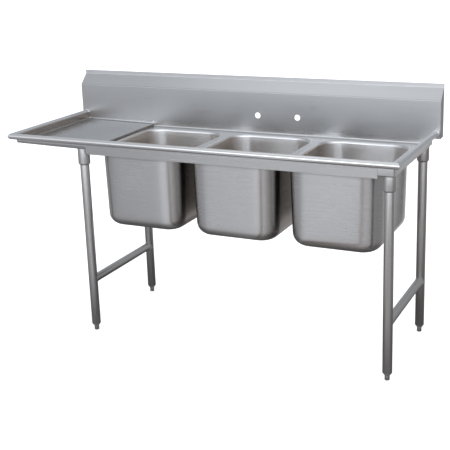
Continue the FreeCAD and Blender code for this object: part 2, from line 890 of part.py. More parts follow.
os.makedirs("parts", exist_ok=True)
for part in parts:
    shape = part.Shape
    if shape.isNull() or not shape.isValid():
        raise RuntimeError(f"{part.Label} has no valid shape")
    shape.exportStep(f"parts/{part.Label}.step")
    print(f"{part.Label}: {len(shape.Solids)} solid(s), {shape.Volume / 1000:.1f} cm3")
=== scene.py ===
"""Looks of a free-standing three compartment sink with a left drainboard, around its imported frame."""
import math

import bmesh
import bpy
from mathutils import Matrix, Vector


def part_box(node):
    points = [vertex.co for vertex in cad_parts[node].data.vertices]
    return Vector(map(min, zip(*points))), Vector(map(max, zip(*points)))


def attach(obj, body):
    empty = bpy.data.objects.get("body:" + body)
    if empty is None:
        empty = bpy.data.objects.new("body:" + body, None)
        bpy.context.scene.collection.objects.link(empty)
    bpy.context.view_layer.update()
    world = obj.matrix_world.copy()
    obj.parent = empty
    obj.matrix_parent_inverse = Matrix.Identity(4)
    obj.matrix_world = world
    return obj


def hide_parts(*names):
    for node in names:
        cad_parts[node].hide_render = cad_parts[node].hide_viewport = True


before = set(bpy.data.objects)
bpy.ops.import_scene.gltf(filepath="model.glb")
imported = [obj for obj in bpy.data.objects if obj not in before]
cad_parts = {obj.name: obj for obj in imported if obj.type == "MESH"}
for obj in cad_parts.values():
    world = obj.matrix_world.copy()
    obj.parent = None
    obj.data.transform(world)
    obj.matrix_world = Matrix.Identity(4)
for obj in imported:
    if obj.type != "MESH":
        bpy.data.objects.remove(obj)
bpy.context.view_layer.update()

MM = 0.001
GAUGE = 1.5                             # thickness of every sheet and tube


def corners_mm(node):
    """Lowest and highest corner of a CAD node, in millimetres."""
    low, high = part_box(node)
    return low / MM, high / MM


# ------------------------------------------------------------------ planes taken from the frame

deck_low, deck_high = corners_mm("bowl_deck")
board_low = corners_mm("drainboard")[0]
rim_low, rim_high = corners_mm("front_rim")
splash_low, splash_high = corners_mm("backsplash")
apron_low, apron_high = corners_mm("front_apron")

SEAM = deck_high.z                      # top of the tray walls, where the rims start
DECK = deck_low.z + GAUGE               # top face of the bowl deck
STEP_X = deck_low.x                     # where the drainboard steps down to the deck
FACE_X = deck_high.x - GAUGE            # inner face of the end walls
FACE_Y = deck_low.y + GAUGE             # inner face of the front wall
SPLASH_Y = splash_low.y                 # face of the splash
ROLL = (FACE_Y - rim_low.y) / 2         # radius of the rolled rim
ROLL_Z = rim_high.z - ROLL
COVE = 7                                # radius between the walls and the floor of the trays
BOARD = 898.5                           # top face of the drainboard at the step
BOARD_RISE = 7                          # how much higher the drainboard is at its far end
CORNER = 7                              # upright corners of the trays


# ------------------------------------------------------------------ materials


def add(tree, kind, inputs=None, **settings):
    """New shader node; an input is a number, a tuple or another node's output."""
    node = tree.nodes.new("ShaderNode" + kind)
    for key, value in settings.items():
        setattr(node, key, value)
    for key, value in (inputs or {}).items():
        if isinstance(value, bpy.types.NodeSocket):
            tree.links.new(value, node.inputs[key])
        else:
            node.inputs[key].default_value = value
    return node


def new_material(name, **constants):
    material = bpy.data.materials.new(name)
    material.use_nodes = True
    tree = material.node_tree
    shader = tree.nodes["Principled BSDF"]
    for key, value in constants.items():
        shader.inputs[key.replace("_", " ")].default_value = value
    return material, tree, shader


def noise(tree, place, scale, detail=3.0, roughness=0.55):
    node = add(tree, "TexNoise", {
        "Vector": place, "Scale": scale, "Detail": detail, "Roughness": roughness})
    return node.outputs["Fac"]


def spread(tree, value, low, high, start=0.3, end=0.7):
    """Turn a noise into a number between low and high."""
    node = add(tree, "MapRange", {
        "Value": value, "From Min": start, "From Max": end, "To Min": low, "To Max": high})
    return node.outputs["Result"]


def blend_colour(tree, factor, first, second, mode="MIX"):
    node = add(tree, "Mix", {"Factor": factor}, data_type="RGBA", blend_type=mode)
    for socket, value in ((node.inputs[6], first), (node.inputs[7], second)):
        if isinstance(value, bpy.types.NodeSocket):
            tree.links.new(value, socket)
        else:
            socket.default_value = value
    return node.outputs[2]


def grey(level, warm=0.0):
    """Neutral colour, pushed to red by a positive warmth and to blue by a negative one."""
    return (level * (1 + warm), level, level * (1 - warm), 1)


def steel(name, level, rough, grain, warm=0.0, streak=0.12, anisotropy=0.0, wave=0.4, smudges=0.12,
          painted_light_and_shade_by_height=(), painted_end_shade=None, painted_end_range=(0.45, 0.95)):
    """Satin stainless steel whose brushing runs along the axis with the smallest grain scale.

    Each band of painted light or shade by height is full at its first level and gone at its second.
    The end shade is painted shade that darkens the walls facing along +X, more and more over its range.
    """
    material, tree, shader = new_material(name, Metallic=1.0)
    place = add(tree, "TexCoord").outputs["Object"]
    fine_place = add(tree, "Mapping", {"Vector": place, "Scale": grain})
    broad_place = add(tree, "Mapping", {"Vector": place, "Scale": [axis * 0.25 for axis in grain]})
    fine = noise(tree, fine_place.outputs[0], 1, 4, 0.65)
    broad = noise(tree, broad_place.outputs[0], 1, 3, 0.6)
    smudge = noise(tree, place, 5, 4, 0.6)
    wide = noise(tree, place, 2.2, 1, 0.4)
    colour = blend_colour(tree, spread(tree, broad, 0, 1), grey(level * (1 - streak), warm),
                          grey(level * (1 + streak), warm * 0.4))
    colour = blend_colour(tree, spread(tree, fine, 0, 0.3), colour, grey(level * 1.2, warm))
    soiled = grey(level * 0.8, warm + 0.02)
    colour = blend_colour(tree, spread(tree, smudge, 0, smudges), colour, soiled)
    # Bands of painted light or shade by height
    for start, end, tint in painted_light_and_shade_by_height:
        height = add(tree, "SeparateXYZ", {"Vector": place}).outputs["Z"]
        fade = spread(tree, height, 1, 0, start, end)
        colour = blend_colour(tree, fade, colour, tint, "MULTIPLY")
    # Painted shade on the walls that face along +X
    if painted_end_shade:
        normal = add(tree, "NewGeometry").outputs["Normal"]
        facing = add(tree, "SeparateXYZ", {"Vector": normal}).outputs["X"]
        fade = spread(tree, facing, 0, 1, *painted_end_range)
        colour = blend_colour(tree, fade, colour, painted_end_shade, "MULTIPLY")
    tree.links.new(colour, shader.inputs["Base Color"])
    rough_fine = spread(tree, fine, rough * 0.85, rough * 1.15)
    rough_all = add(tree, "Math", {0: rough_fine, 1: spread(tree, smudge, -0.02, 0.03)}, operation="ADD")
    tree.links.new(rough_all.outputs[0], shader.inputs["Roughness"])
    waves = add(tree, "Bump", {"Height": wide, "Strength": wave, "Distance": 0.0012})
    brush = add(tree, "Bump", {"Height": fine, "Strength": 0.06, "Distance": 0.00005,
                               "Normal": waves.outputs[0]})
    tree.links.new(brush.outputs[0], shader.inputs["Normal"])
    if anisotropy:
        shader.inputs["Anisotropic"].default_value = anisotropy
        shader.inputs["Anisotropic Rotation"].default_value = 0.25
        tangent = add(tree, "Tangent", direction_type="UV_MAP")
        tree.links.new(tangent.outputs[0], shader.inputs["Tangent"])
    return material


# Grain: noise scale along X, Y and Z, smallest along the brushing
ALONG_X = (7, 1300, 1300)
ALONG_Y = (1300, 7, 1300)
ALONG_Z = (900, 900, 7)
LEVEL = (9, 9, 1300)
TURNED = (700, 700, 700)
BEADED = (500, 500, 500)
BRIGHT = (300, 300, 300)

# Colour of the painted shade on walls that face along +X
PAINTED_SHADE_BROWN = (0.5, 0.43, 0.38, 1)
# Painted light on the splash: brighter on the upper slope, and brighter at the foot as a painted reflection
# of the deck
SPLASH_PAINTED_LIGHT = ((1.09, 1.082, (1.3, 1.3, 1.3, 1)), (0.93, 1.0, (1.15, 1.15, 1.15, 1)))
# Painted shade on the bowls: darker and warmer low down, and a painted shadow under the apron
BOWL_PAINTED_SHADE = ((0.53, 0.6, (0.95, 0.9, 0.87, 1)), (0.868, 0.85, (0.66, 0.64, 0.63, 1)))
# Painted shade that dims the highlight on the bowls' lips
LIP_PAINTED_SHADE = ((0.886, 0.864, (0.66, 0.66, 0.67, 1)),)

deck_steel = steel("brushed_deck", 0.54, 0.28, ALONG_X, warm=-0.01, streak=0.02, anisotropy=0.3, wave=0.1)
# The drainboard's walls that face along +X carry painted shade
board_steel = steel("brushed_drainboard", 0.45, 0.24, ALONG_X, warm=-0.02, streak=0.02, wave=0.05,
                    smudges=0.03, painted_end_shade=PAINTED_SHADE_BROWN)
# The splash carries painted light: its upper slope and its foot are brightened.
splash_steel = steel("brushed_splash", 0.41, 0.32, ALONG_X, warm=-0.02, streak=0.02, anisotropy=0.2,
                     wave=0.1, smudges=0.06, painted_light_and_shade_by_height=SPLASH_PAINTED_LIGHT)
apron_steel = steel("brushed_apron", 0.56, 0.24, ALONG_X, streak=0.02, anisotropy=0.3, wave=0.15)
rim_steel = steel("polished_rim", 0.66, 0.2, ALONG_X, streak=0.03, wave=0.1)
side_rim_steel = steel("polished_side_rim", 0.56, 0.22, ALONG_Y, warm=-0.02, streak=0.03, wave=0.1)
# The left rim is a copy of the side rim's steel with painted shade on its inner wall, which faces along +X
left_rim_painted_shade_steel = steel("polished_left_rim_painted_shade", 0.6, 0.22, ALONG_Y, warm=-0.02, streak=0.03, wave=0.05,
                       smudges=0.04, painted_end_shade=PAINTED_SHADE_BROWN, painted_end_range=(0.8, 0.98))
# Outside of the bowls: painted shade low down and a painted shadow under the apron
bowl_steel = steel("drawn_bowl", 0.6, 0.24, LEVEL, warm=-0.01, streak=0.02, anisotropy=0.5, wave=0.15,
                   painted_light_and_shade_by_height=BOWL_PAINTED_SHADE)
# The outside of the left and centre bowls: the same steel with painted shade on the walls that face along
# +X into the gaps
gap_painted_shade_steel = steel("drawn_bowl_gap_painted_shade", 0.6, 0.24, LEVEL, warm=-0.01, streak=0.02, anisotropy=0.5, wave=0.15,
                  painted_light_and_shade_by_height=BOWL_PAINTED_SHADE, painted_end_shade=(0.5, 0.46, 0.43, 1))
# Inside of the bowls: brighter than the outside as painted light, with painted shade dimming the lips and
# darkening the walls that face along +X
inside_painted_light_and_shade_steel = steel("bowl_inside_painted_light_and_shade", 1.0, 0.3, LEVEL, warm=-0.01, streak=0.02, anisotropy=0.3, wave=0.15,
                     painted_light_and_shade_by_height=LIP_PAINTED_SHADE, painted_end_shade=PAINTED_SHADE_BROWN)
tube_steel = steel("satin_tube", 0.5, 0.3, ALONG_Z, warm=0.02, streak=0.07)
# A darker copy of the tube steel: painted shade on the rear legs and their sockets
rear_painted_shade_steel = steel("satin_rear_tube_painted_shade", 0.4, 0.34, ALONG_Z, warm=0.04, streak=0.07)
rail_steel = steel("satin_rail", 0.4, 0.3, ALONG_Y, warm=0.02, streak=0.07)
cast_steel = steel("satin_casting", 0.5, 0.34, TURNED, streak=0.06, wave=0.1)
# Darker steel: painted shade on the splash's end caps
cap_painted_shade_steel = steel("brushed_end_cap_painted_shade", 0.3, 0.36, ALONG_Z, warm=-0.02, streak=0.04, wave=0.1)
weld_steel = steel("weld_bead", 0.92, 0.4, BEADED, streak=0.08, wave=0.1)
channel_steel = steel("mill_channel", 0.4, 0.42, ALONG_Y, streak=0.14)
basket_steel = steel("bright_basket", 0.65, 0.18, BRIGHT, wave=0.1)


def darker(colour, share):
    return tuple(share * channel for channel in colour[:3]) + (1,)


def plain_metal(name, colour, rough, speckle, speckle_scale):
    """Bright or tarnished metal with fine speckle, handling marks and a slight unevenness."""
    material, tree, shader = new_material(name, Metallic=1.0)
    place = add(tree, "TexCoord").outputs["Object"]
    spots = noise(tree, place, speckle_scale, 5, 0.7)
    marks = noise(tree, place, 40, 3, 0.6)
    mixed = blend_colour(tree, spread(tree, spots, 0, speckle), colour, darker(colour, 0.6))
    mixed = blend_colour(tree, spread(tree, marks, 0, 0.25), mixed, darker(colour, 0.8))
    tree.links.new(mixed, shader.inputs["Base Color"])
    tree.links.new(spread(tree, marks, rough * 0.7, rough * 1.4), shader.inputs["Roughness"])
    bump = add(tree, "Bump", {"Height": spots, "Strength": 0.2, "Distance": 0.0001})
    tree.links.new(bump.outputs[0], shader.inputs["Normal"])
    return material


def matte(name, dark, light, rough, scale, depth):
    """Rubber or fibre: two close colours in a fine mottle, with a soft bump."""
    material, tree, shader = new_material(name, Metallic=0.0)
    place = add(tree, "TexCoord").outputs["Object"]
    mottle = noise(tree, place, scale, 6, 0.7)
    fine = noise(tree, place, scale * 6, 3, 0.6)
    tree.links.new(blend_colour(tree, spread(tree, mottle, 0, 1), dark, light), shader.inputs["Base Color"])
    tree.links.new(spread(tree, fine, rough - 0.08, rough + 0.08), shader.inputs["Roughness"])
    bump = add(tree, "Bump", {"Height": fine, "Strength": 0.4, "Distance": depth})
    tree.links.new(bump.outputs[0], shader.inputs["Normal"])
    return material


chrome = plain_metal("bright_chrome", (0.62, 0.63, 0.65, 1), 0.12, 0.2, 500)
brass = plain_metal("cast_brass", (0.56, 0.4, 0.17, 1), 0.34, 0.5, 700)
oxide = plain_metal("dark_set_screw", (0.06, 0.06, 0.065, 1), 0.4, 0.4, 900)
rubber = matte("black_rubber", (0.012, 0.012, 0.013, 1), (0.03, 0.03, 0.032, 1), 0.75, 300, 0.0001)
fibre = matte("fibre_washer", (0.12, 0.055, 0.03, 1), (0.2, 0.1, 0.055, 1), 0.85, 250, 0.0002)


# ------------------------------------------------------------------ mesh tools


def turn_2d(point, angle):
    c, s = math.cos(angle), math.sin(angle)
    return Vector((point.x * c - point.y * s, point.x * s + point.y * c))


def rounded(corners, radii, steps=8, closed=False):
    """Polyline through the corners, each rounded by its own radius; 0 keeps it sharp."""
    path = []
    count = len(corners)
    for index, (corner, radius) in enumerate(zip(corners, radii)):
        corner = Vector(corner)
        if not radius or (not closed and index in (0, count - 1)):
            path.append(corner)
            continue
        back = (Vector(corners[index - 1]) - corner).normalized()
        ahead = (Vector(corners[(index + 1) % count]) - corner).normalized()
        half = math.acos(max(-1, min(1, back.dot(ahead)))) / 2
        centre = corner + (back + ahead).normalized() * (radius / math.sin(half))
        start = corner + back * (radius / math.tan(half)) - centre
        end = corner + ahead * (radius / math.tan(half)) - centre
        sweep = math.atan2(start.x * end.y - start.y * end.x, start.dot(end))
        path += [centre + turn_2d(start, sweep * step / steps) for step in range(steps + 1)]
    return path


def arc(centre, radius, first, last, steps):
    """Points on an arc in a plane, between two angles in degrees."""
    for step in range(steps + 1):
        angle = math.radians(first + (last - first) * step / steps)
        yield Vector((centre[0] + radius * math.cos(angle), centre[1] + radius * math.sin(angle)))


class Net:
    """Points and faces of one piece, in millimetres."""

    def __init__(self):
        self.bm = bmesh.new()

    def points(self, row):
        return [self.bm.verts.new(Vector(point) * MM) for point in row]

    def skin(self, rows, around=False, over=False):
        """Faces between rows of points; around closes each row, over joins the last row to the first."""
        lines = [self.points(row) for row in rows]
        if over:
            lines.append(lines[0])
        for first, second in zip(lines, lines[1:]):
            for index in range(len(first) - (0 if around else 1)):
                following = (index + 1) % len(first)
                self.bm.faces.new((first[index], first[following], second[following], second[index]))
        return lines

    def fill(self, loops):
        """Flat face inside the first loop and outside the others."""
        edges = []
        for loop in loops:
            verts = self.points(loop)
            edges += [self.bm.edges.new(pair) for pair in zip(verts, verts[1:] + verts[:1])]
        bmesh.ops.triangle_fill(self.bm, use_beauty=True, use_dissolve=False, edges=edges)

    def bead(self, line, radius, closed=False, sides=8):
        """Weld bead of a slightly uneven thickness along a line."""
        rows = []
        count = len(line)
        for index, point in enumerate(line):
            point = Vector(point)
            after = Vector(line[(index + 1) % count if closed else min(index + 1, count - 1)])
            before = Vector(line[index - 1 if closed or index else 0])
            ahead = (after - before).normalized()
            side = ahead.cross(Vector((0.3, 0.2, 0.93))).normalized()
            up = side.cross(ahead)
            size = radius * (1 + 0.12 * math.sin(index * 1.9) + 0.06 * math.sin(index * 4.7))
            rows.append([point + (side * math.cos(a) + up * math.sin(a)) * size
                         for a in (2 * math.pi * k / sides for k in range(sides))])
        self.skin(rows, around=True, over=closed)
        if not closed:
            self.fill([rows[0]])
            self.fill([rows[-1]])


def lay_out(mesh):
    """Map that runs along the brushing: along X, or along Y on the ends."""
    layer = mesh.uv_layers.new(name="brushing")
    for face in mesh.polygons:
        normal = face.normal
        if abs(normal.z) >= max(abs(normal.x), abs(normal.y)):
            first, second = 0, 1
        elif abs(normal.y) >= abs(normal.x):
            first, second = 0, 2
        else:
            first, second = 1, 2
        for loop in face.loop_indices:
            place = mesh.vertices[mesh.loops[loop].vertex_index].co
            layer.data[loop].uv = (place[first], place[second])


def make(name, net, material, nodes, body="sink", gauge=None, facing=None, ease=0.0, sharp=32,
         even=True, outside=None):
    """Turn a net into a piece that stands for CAD nodes; a gauge thickens a single sheet."""
    bm = net.bm
    bmesh.ops.remove_doubles(bm, verts=bm.verts, dist=0.01 * MM)
    bmesh.ops.recalc_face_normals(bm, faces=bm.faces)
    if facing:
        total = sum((face.normal * face.calc_area() for face in bm.faces), Vector())
        if total.dot(Vector(facing)) < 0:
            bmesh.ops.reverse_faces(bm, faces=bm.faces)
    mesh = bpy.data.meshes.new(name)
    bm.to_mesh(mesh)
    bm.free()
    lay_out(mesh)
    mesh.shade_smooth()
    mesh.set_sharp_from_angle(angle=math.radians(sharp))
    mesh.materials.append(material)
    if outside:
        mesh.materials.append(outside)
    thing = bpy.data.objects.new(name, mesh)
    bpy.context.scene.collection.objects.link(thing)
    if gauge:
        solid = thing.modifiers.new("gauge", "SOLIDIFY")
        solid.thickness = gauge * MM
        solid.offset = -1
        solid.use_even_offset = even
        solid.use_quality_normals = True
        solid.material_offset = 1 if outside else 0
    if ease:
        bevel = thing.modifiers.new("eased_edges", "BEVEL")
        bevel.width = ease * MM
        bevel.segments = 2
        bevel.limit_method = "ANGLE"
        bevel.angle_limit = math.radians(50)
        bevel.harden_normals = True
    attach(thing, body)
    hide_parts(*nodes)
    return thing


def turned(name, centre, outline, radii, material, nodes, body="sink", on_axis=False,
           segments=64, steps=4, extra=None):
    """Piece turned about an upright axis from an outline of radius and level."""
    line = rounded(outline, radii, steps, closed=not on_axis)
    net = Net()
    rows = []
    for point in line:
        rows.append([(centre[0] + point.x * math.cos(a), centre[1] + point.x * math.sin(a), point.y)
                     for a in (2 * math.pi * k / segments for k in range(segments))])
    net.skin(rows, around=True, over=not on_axis)
    if extra:
        extra(net)
    return make(name, net, material, nodes, body)


# ------------------------------------------------------------------ deck and drainboard


def ring(middle, length, width, radius, level, corner=12, side=8):
    """Closed rounded rectangle of points about a middle."""
    points = []
    quarters = ((1, 1), (-1, 1), (-1, -1), (1, -1))
    for index, (across, back) in enumerate(quarters):
        centre = (middle[0] + across * (length / 2 - radius), middle[1] + back * (width / 2 - radius))
        points += arc(centre, radius, 90 * index, 90 * index + 90, corner)
        across, back = quarters[(index + 1) % 4]
        centre = (middle[0] + across * (length / 2 - radius), middle[1] + back * (width / 2 - radius))
        start, end = points[-1], next(arc(centre, radius, 90 * index + 90, 0, 1))
        points += [start.lerp(end, step / side) for step in range(1, side)]
    return [(point.x, point.y, level) for point in points]


def tray_line(open_x, end_x, inset):
    """Line along the rear wall, round the end wall and back along the front wall, inset from them."""
    inward = math.copysign(inset, open_x - end_x)
    radius = max(CORNER - inset, 0.25)
    corners = ((open_x, SPLASH_Y - inset), (end_x + inward, SPLASH_Y - inset),
               (end_x + inward, FACE_Y + inset), (open_x, FACE_Y + inset))
    return rounded(corners, (0, radius, radius, 0), 8)


def tray_walls(open_x, end_x, level):
    """Rows from the top of the walls down through the cove; level gives the floor at a place along X."""
    rows = [[(p.x, p.y, SEAM) for p in tray_line(open_x, end_x, 0)]]
    for step in range(9):
        angle = math.radians(90 * step / 8)
        inset = COVE * (1 - math.cos(angle))
        above = COVE * (1 - math.sin(angle))
        rows.append([(p.x, p.y, level(p.x) + above) for p in tray_line(open_x, end_x, inset)])
    return rows


BOWLS = {side: ((corners_mm(f"bowl_{side}")[0] + corners_mm(f"bowl_{side}")[1]) / 2).to_2d()
         for side in ("left", "centre", "right")}
OPENING = (434.4, 536)
OPENING_CORNER = 106


def make_deck():
    net = Net()
    rows = tray_walls(STEP_X, FACE_X, lambda x: DECK)
    net.skin(rows)
    net.fill([rows[-1]] + [ring(middle, *OPENING, OPENING_CORNER, DECK) for middle in BOWLS.values()])
    make("deck_sheet", net, deck_steel, ["bowl_deck"], gauge=GAUGE, facing=(0, 0, 1), ease=0.3)


def make_board():
    bend = 3.0
    slope = BOARD_RISE / (STEP_X - board_low.x - GAUGE)

    def level(x):
        return BOARD + max(STEP_X - bend - x, 0) * slope

    net = Net()
    rows = tray_walls(STEP_X - bend, -FACE_X, level)
    net.skin(rows)
    net.fill([rows[-1]])
    # the end of the tray turns down to the deck
    edge = [Vector(row[0]) for row in rows[1:]] + [Vector(row[-1]) for row in reversed(rows[1:])]
    normals = []
    for index in range(9):
        angle = math.radians(90 * index / 8)
        normals.append(Vector((0, -math.cos(angle), math.sin(angle))))
    normals += [Vector((0, -n.y, n.z)) for n in reversed(normals)]
    turns = []
    for step in range(7):
        angle = math.radians(90 * step / 6)
        turns.append([point + Vector((bend * math.sin(angle), 0, 0)) - normal * bend * (1 - math.cos(angle))
                      for point, normal in zip(edge, normals)])
    drop = BOARD - DECK + GAUGE
    turns.append([(STEP_X, point.y, point.z - drop) for point in edge])
    net.skin(turns)
    make("drainboard_sheet", net, board_steel, ["drainboard"], gauge=GAUGE, facing=(0, 0, 1),
         ease=0.3, even=False)


# ------------------------------------------------------------------ rims, apron and splash


def rim_profile():
    """Distance out from the wall's inner face and level, up the riser and round the roll."""
    yield Vector((0, SEAM))
    yield Vector((0, (SEAM + ROLL_Z) / 2))
    yield from arc((ROLL, ROLL_Z), ROLL, 180, -90, 36)


def rim_line(out):
    radius = max(CORNER - out, 1.2)
    corners = ((-FACE_X - out, SPLASH_Y), (-FACE_X - out, FACE_Y - out),
               (FACE_X + out, FACE_Y - out), (FACE_X + out, SPLASH_Y))
    return rounded(corners, (0, radius, radius, 0), 8)


def make_rims():
    """Three rolled strips that meet at mitres in the middle of the front corners, and their end welds."""
    rows = [[(p.x, p.y, point.y) for p in rim_line(point.x)] for point in rim_profile()]
    first = 1 + 4
    last = len(rows[0]) - 1
    spans = {"left": (0, first, left_rim_painted_shade_steel), "front": (first, last - first, rim_steel),
             "right": (last - first, last, side_rim_steel)}
    for side, (start, end, material) in spans.items():
        net = Net()
        net.skin([row[start:end + 1] for row in rows])
        make(f"{side}_rolled_rim", net, material, [f"{side}_rim"], gauge=GAUGE, facing=(0, 0, 1),
             ease=0.3)
    for side, end in (("left", -1), ("right", 1)):
        net = Net()
        centre = (end * (FACE_X + ROLL), ROLL_Z)
        bent = arc(centre, ROLL + 0.4, 90 + end * 80, 90 - end * 165, 60)
        line = [(p.x, SPLASH_Y - 1.6, p.y) for p in bent]
        net.bead(line, 1.5)
        make(f"{side}_rim_weld", net, weld_steel, [])


def make_apron():
    net = Net()
    chamfer = 9
    face = apron_low.y
    net.fill([[(apron_low.x + chamfer, face, apron_low.z), (apron_high.x, face, apron_low.z),
               (apron_high.x, face, apron_high.z), (apron_low.x, face, apron_high.z),
               (apron_low.x, face, apron_low.z + chamfer)]])
    make("apron_strip", net, apron_steel, ["front_apron"], gauge=GAUGE - 0.02, facing=(0, -1, 0),
         ease=0.35)


SPLASH_BACK = splash_high.y - GAUGE       # face of the tile edge
SPLASH_RETURN = SPLASH_BACK - SPLASH_Y
TILE_EDGE = 18.5                          # height of the upright tile edge
KNEE = splash_high.z - TILE_EDGE - SPLASH_RETURN
FAUCET_HOLES = ((59.4, 972.5), (262.6, 972.5))
FAUCET_RADIUS = 14.3


def splash_profile():
    return rounded(((SPLASH_Y, SEAM), (SPLASH_Y, KNEE), (SPLASH_BACK, KNEE + SPLASH_RETURN),
                    (SPLASH_BACK, splash_high.z)), (0, 4.5, 3, 0), 8)


def make_splash():
    low, high = splash_low.x, splash_high.x
    columns = [low + (high - low) * step / 24 for step in range(25)]
    profile = splash_profile()
    net = Net()
    net.skin([[(x, point.x, point.y) for x in columns] for point in profile[1:]])
    top = profile[1].y
    outline = [(x, SPLASH_Y, top) for x in columns] + [(x, SPLASH_Y, SEAM) for x in reversed(columns)]
    holes = [[(p.x, SPLASH_Y, p.y) for p in list(arc(hole, FAUCET_RADIUS, 0, 360, 48))[:-1]]
             for hole in FAUCET_HOLES]
    net.fill([outline] + holes)
    make("splash_sheet", net, splash_steel, ["backsplash"], gauge=GAUGE, facing=(0, -1, 0),
         ease=0.25)
    for side, end in (("left", -1), ("right", 1)):
        x = end * splash_high.x + end * GAUGE
        net = Net()
        outline = [(x, p.x, p.y) for p in profile]
        outline += [(x, splash_high.y, splash_high.z), (x, splash_high.y, SEAM)]
        net.fill([outline])
        make(f"splash_cap_{side}", net, cap_painted_shade_steel, [f"splash_end_cap_{side}"],
             gauge=GAUGE, facing=(end, 0, 0), ease=0.5)


# ------------------------------------------------------------------ bowls


BOWL_FLOOR = corners_mm("bowl_left")[0].z + GAUGE
LIP = 12
LIP_REACH = 14
DRAFT = math.tan(math.radians(1.2))
FLOOR_FILLET = 54
DRAIN_HOLE = 44.5


def bowl_rows(middle):
    def at(inset, level):
        return ring(middle, OPENING[0] - 2 * inset, OPENING[1] - 2 * inset, OPENING_CORNER - inset, level)

    rows = [at(0, DECK)]
    for step in range(7):
        angle = math.radians(90 * step / 6)
        rows.append(at(LIP_REACH - LIP + LIP * math.sin(angle), DECK - LIP * (1 - math.cos(angle))))
    top, bottom = DECK - LIP, BOWL_FLOOR + FLOOR_FILLET
    for step in range(1, 13):
        level = top + (bottom - top) * step / 12
        rows.append(at(LIP_REACH + (top - level) * DRAFT, level))
    wall = LIP_REACH + (top - bottom) * DRAFT
    for step in range(1, 15):
        angle = math.radians(90 * step / 14)
        rows.append(at(wall + FLOOR_FILLET * (1 - math.cos(angle)),
                       bottom - FLOOR_FILLET * math.sin(angle)))
    edge = rows[-1]
    circle = []
    for point in edge:
        across, back = point[0] - middle[0], point[1] - middle[1]
        reach = DRAIN_HOLE / math.hypot(across, back)
        circle.append((middle[0] + across * reach, middle[1] + back * reach, BOWL_FLOOR))
    for step in range(1, 7):
        rows.append([Vector(a).lerp(Vector(b), step / 6) for a, b in zip(edge, circle)])
    return rows


def make_bowls():
    for side, middle in BOWLS.items():
        net = Net()
        net.skin(bowl_rows(middle), around=True)
        # The inside takes painted light and shade; the left and centre bowls take painted shade outside, on
        # the walls facing the gaps.
        make(f"bowl_{side}_shell", net, inside_painted_light_and_shade_steel, [f"bowl_{side}"], gauge=GAUGE,
             facing=(0, 0, 1), ease=0.3, outside=bowl_steel if side == "right" else gap_painted_shade_steel)


# ------------------------------------------------------------------ basket drains


OUTLET_BORE = 20.4
OUTLET_RADIUS = 24.15
OUTLET_LENGTH = 22
CUP_RADIUS = 43.5
CUP_DEPTH = 46
FLANGE_RADIUS = 57
FLANGE_HEIGHT = 2
STACK_BORE = CUP_RADIUS + 0.05          # inside radius of the gasket, the washer and the nut
GASKET_RADIUS = 56
GASKET_HEIGHT = 3
WASHER_RADIUS = 55
WASHER_HEIGHT = 1.5
NUT_RADIUS = 54
NUT_HEIGHT = 11
NOTCH_RADIUS = 4
NOTCHES = 8


def flat_ring(name, middle, radius, low, high, ease, material, node):
    """Gasket or washer; ease gives the inner and the outer rounding."""
    turned(name, middle, ((STACK_BORE, low), (radius, low), (radius, high), (STACK_BORE, high)), ease,
           material, [node], segments=96)


def make_drains():
    floor = BOWL_FLOOR
    under = floor - GAUGE
    wall = CUP_RADIUS - GAUGE
    bottom = floor - CUP_DEPTH
    outlet = bottom - OUTLET_LENGTH
    top = floor + FLANGE_HEIGHT
    gasket_low = under - GASKET_HEIGHT
    washer_low = gasket_low - WASHER_HEIGHT
    for side, middle in BOWLS.items():
        turned(f"drain_{side}_cup", middle, (
            (OUTLET_BORE, outlet), (OUTLET_RADIUS, outlet), (OUTLET_RADIUS, bottom), (CUP_RADIUS, bottom),
            (CUP_RADIUS, floor), (FLANGE_RADIUS, floor), (FLANGE_RADIUS - 1.6, top), (wall, top),
            (wall, bottom + GAUGE), (OUTLET_BORE, bottom + GAUGE)),
            (0.5, 0.5, 1.5, 4, 0, 0.2, 1.2, 1.6, 3, 0.6),
            chrome, [f"drain_body_{side}"], segments=96)
        flat_ring(f"drain_{side}_gasket", middle, GASKET_RADIUS, gasket_low, under, (0.3, 1, 1, 0.3),
                  rubber, f"drain_gasket_{side}")
        flat_ring(f"drain_{side}_washer", middle, WASHER_RADIUS, washer_low, gasket_low,
                  (0.2, 0.3, 0.3, 0.2), fibre, f"drain_washer_{side}")
        make_ring_nut(side, middle, washer_low - NUT_HEIGHT, washer_low)
        make_basket(side, middle, floor)


def make_ring_nut(side, middle, low, high):
    """Ring nut with round notches for its wrench."""
    outline = []
    share = 360 / NOTCHES
    half = math.degrees(2 * math.asin(NOTCH_RADIUS / (2 * NUT_RADIUS)))
    for index in range(NOTCHES):
        angle = share * index
        tip = next(arc((0, 0), NUT_RADIUS, angle, angle, 1))
        outline += arc(tip, NOTCH_RADIUS, angle + 270 - half / 2, angle + 90 + half / 2, 10)
        outline += list(arc((0, 0), NUT_RADIUS, angle + half, angle + share - half, 8))[1:-1]
    hole = list(arc((0, 0), STACK_BORE, 0, 360, 96))[:-1]
    net = Net()
    loops = (outline, hole)
    for level in (low, high):
        net.fill([[(middle[0] + p.x, middle[1] + p.y, level) for p in loop] for loop in loops])
    for loop in loops:
        net.skin([[(middle[0] + p.x, middle[1] + p.y, level) for p in loop] for level in (low, high)],
                 around=True)
    make(f"drain_{side}_ring_nut", net, brass, [f"drain_locknut_{side}"], ease=0.5)


